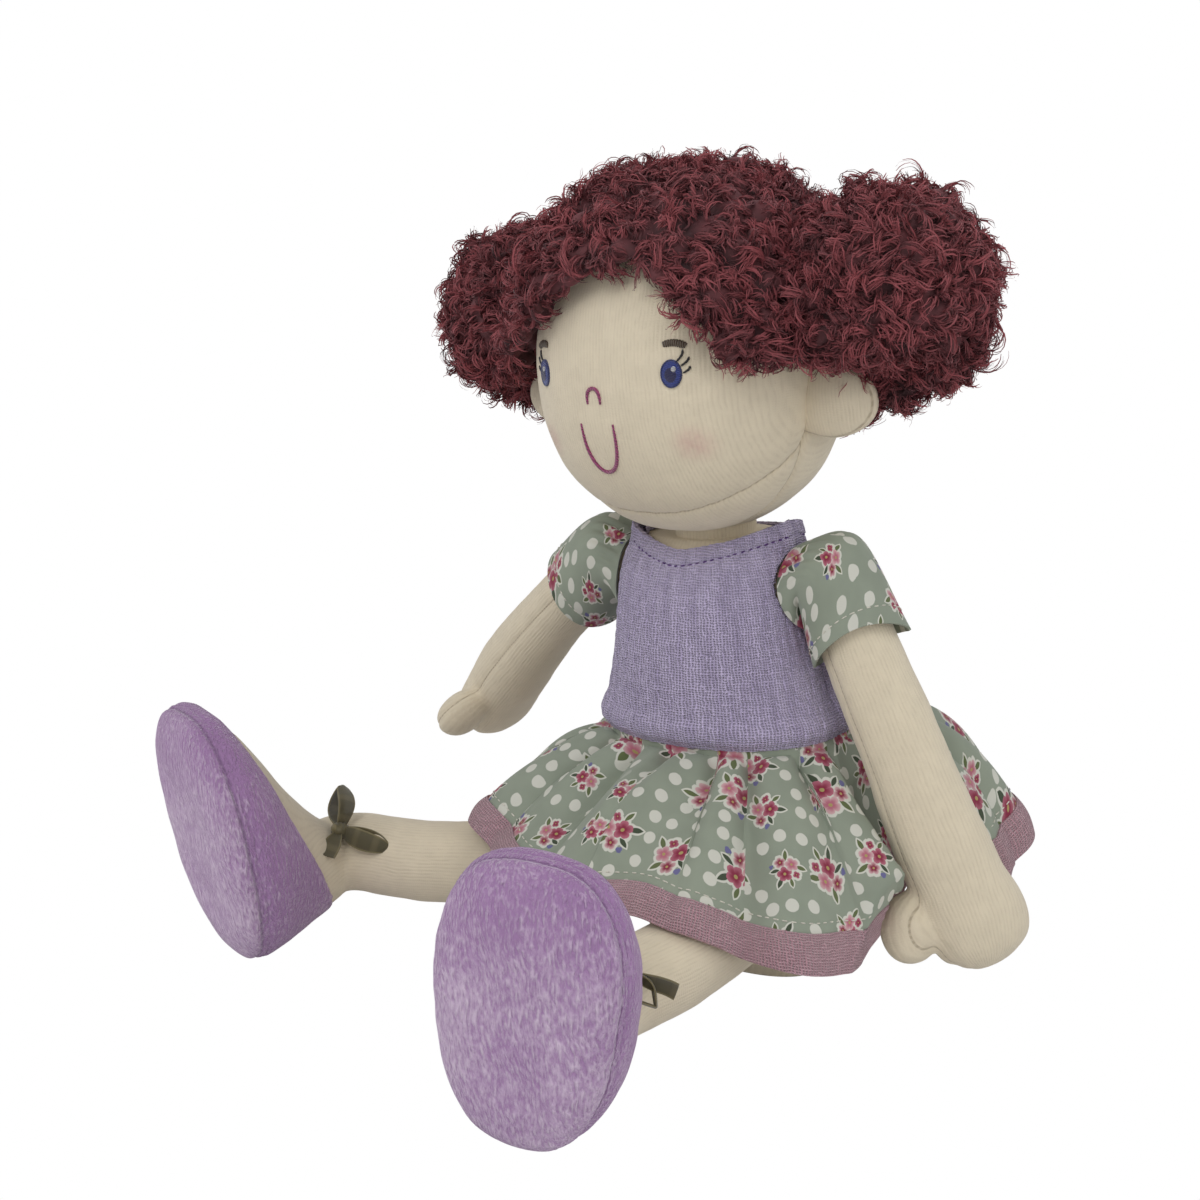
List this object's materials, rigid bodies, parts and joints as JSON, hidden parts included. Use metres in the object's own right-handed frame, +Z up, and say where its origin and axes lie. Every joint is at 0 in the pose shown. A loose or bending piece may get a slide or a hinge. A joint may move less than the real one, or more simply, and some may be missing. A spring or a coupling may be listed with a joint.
{
  "type": "rag doll",
  "caption": "Seated stuffed rag doll with curly side bunches, an embroidered face, a gathered dress with a hem band, and soft shoes with ankle bows.",
  "frame": {"origin": "middle of the flat seat, on the surface that the doll sits on", "axes": "-Z out of the seat, +Z up, the doll looks along -Y and its own left is +X"},
  "size_m": [0.24, 0.2465, 0.254],
  "materials": {
    "jersey": "fine ribbed cotton jersey over stuffing",
    "hair_pile": "curly long pile",
    "lavender_gauze": "crinkled double gauze",
    "sage_print": "printed cotton lawn",
    "pink_gauze": "open muslin weave",
    "shoe_plush": "short plush with a brushed nap",
    "olive_ribbon": "sheer organza ribbon",
    "eye_thread": "satin stitch",
    "brow_thread": "satin stitch",
    "berry_thread": "satin stitch",
    "closing_tape": "woven hook-and-loop tape"
  },
  "bodies": {
    "torso": {"torso": "jersey", "bodice_front": "lavender_gauze", "bodice_back_left": "lavender_gauze", "bodice_back_right": "lavender_gauze", "neck_facing": "lavender_gauze", "back_closing_tape": "closing_tape", "sleeve_left": "sage_print", "sleeve_right": "sage_print", "skirt": "sage_print", "skirt_hem_band": "pink_gauze"},
    "neck": {"neck": "jersey"},
    "head": {"face": "jersey", "jaw_gusset": "jersey", "head_back": "jersey", "ear_left": "jersey", "ear_right": "jersey", "hair_cap": "hair_pile", "hair_bunch_left": "hair_pile", "hair_bunch_right": "hair_pile", "eye_left": "eye_thread", "eye_right": "eye_thread", "brow_left": "brow_thread", "brow_right": "brow_thread", "nose": "berry_thread", "mouth": "berry_thread"},
    "arm_root_left": {"arm_root_left": "jersey"},
    "arm_left": {"arm_left": "jersey"},
    "arm_root_right": {"arm_root_right": "jersey"},
    "arm_right": {"arm_right": "jersey"},
    "leg_root_left": {"leg_root_left": "jersey"},
    "leg_left": {"leg_left": "jersey", "shoe_upper_left": "shoe_plush", "shoe_sole_left": "shoe_plush", "bow_left": "olive_ribbon"},
    "leg_root_right": {"leg_root_right": "jersey"},
    "leg_right": {"leg_right": "jersey", "shoe_upper_right": "shoe_plush", "shoe_sole_right": "shoe_plush", "bow_right": "olive_ribbon"}
  },
  "joints": [
    {"name": "head_turn", "type": "hinge", "parent": "torso", "child": "neck", "pos_m": [-0.00829, -0.00643, 0.13158], "axis": [-0.0628, -0.0488, 0.9968], "range_deg": [-60, 60]},
    {"name": "head_nod", "type": "hinge", "parent": "neck", "child": "head", "pos_m": [-0.00917, -0.00712, 0.14554], "axis": [0.998, -0.0031, 0.0627], "range_deg": [-15, 6]},
    {"name": "shoulder_swing_left", "type": "hinge", "parent": "torso", "child": "arm_root_left", "pos_m": [0.03266, -0.00654, 0.13365], "axis": [0.998, -0.0031, 0.0627], "range_deg": [-100, 30]},
    {"name": "shoulder_lift_left", "type": "hinge", "parent": "arm_root_left", "child": "arm_left", "pos_m": [0.03266, -0.00654, 0.13365], "axis": [0.0022, -0.9965, -0.0836], "range_deg": [-6, 91], "deforming": ["sleeve_left"]},
    {"name": "shoulder_swing_right", "type": "hinge", "parent": "torso", "child": "arm_root_right", "pos_m": [-0.04918, -0.00628, 0.12851], "axis": [0.998, -0.0031, 0.0627], "range_deg": [-100, 14]},
    {"name": "shoulder_lift_right", "type": "hinge", "parent": "arm_root_right", "child": "arm_right", "pos_m": [-0.04918, -0.00628, 0.12851], "axis": [-0.0194, 0.9349, 0.3545], "range_deg": [-35, 62], "deforming": ["sleeve_right"]},
    {"name": "hip_splay_left", "type": "hinge", "parent": "torso", "child": "leg_root_left", "pos_m": [0.027, -0.0255, 0.032], "axis": [0, 0, 1], "range_deg": [-3, 45], "deforming": ["skirt", "skirt_hem_band"]},
    {"name": "hip_swing_left", "type": "hinge", "parent": "leg_root_left", "child": "leg_left", "pos_m": [0.02861, -0.04393, 0.032], "axis": [0.9962, 0.0872, 0], "range_deg": [-20, 95]},
    {"name": "hip_splay_right", "type": "hinge", "parent": "torso", "child": "leg_root_right", "pos_m": [-0.027, -0.0255, 0.032], "axis": [0, 0, -1], "range_deg": [-42, 6]},
    {"name": "hip_swing_right", "type": "hinge", "parent": "leg_root_right", "child": "leg_right", "pos_m": [-0.04086, -0.03776, 0.032], "axis": [0.6626, -0.749, 0], "range_deg": [-20, 95]}
  ]
}
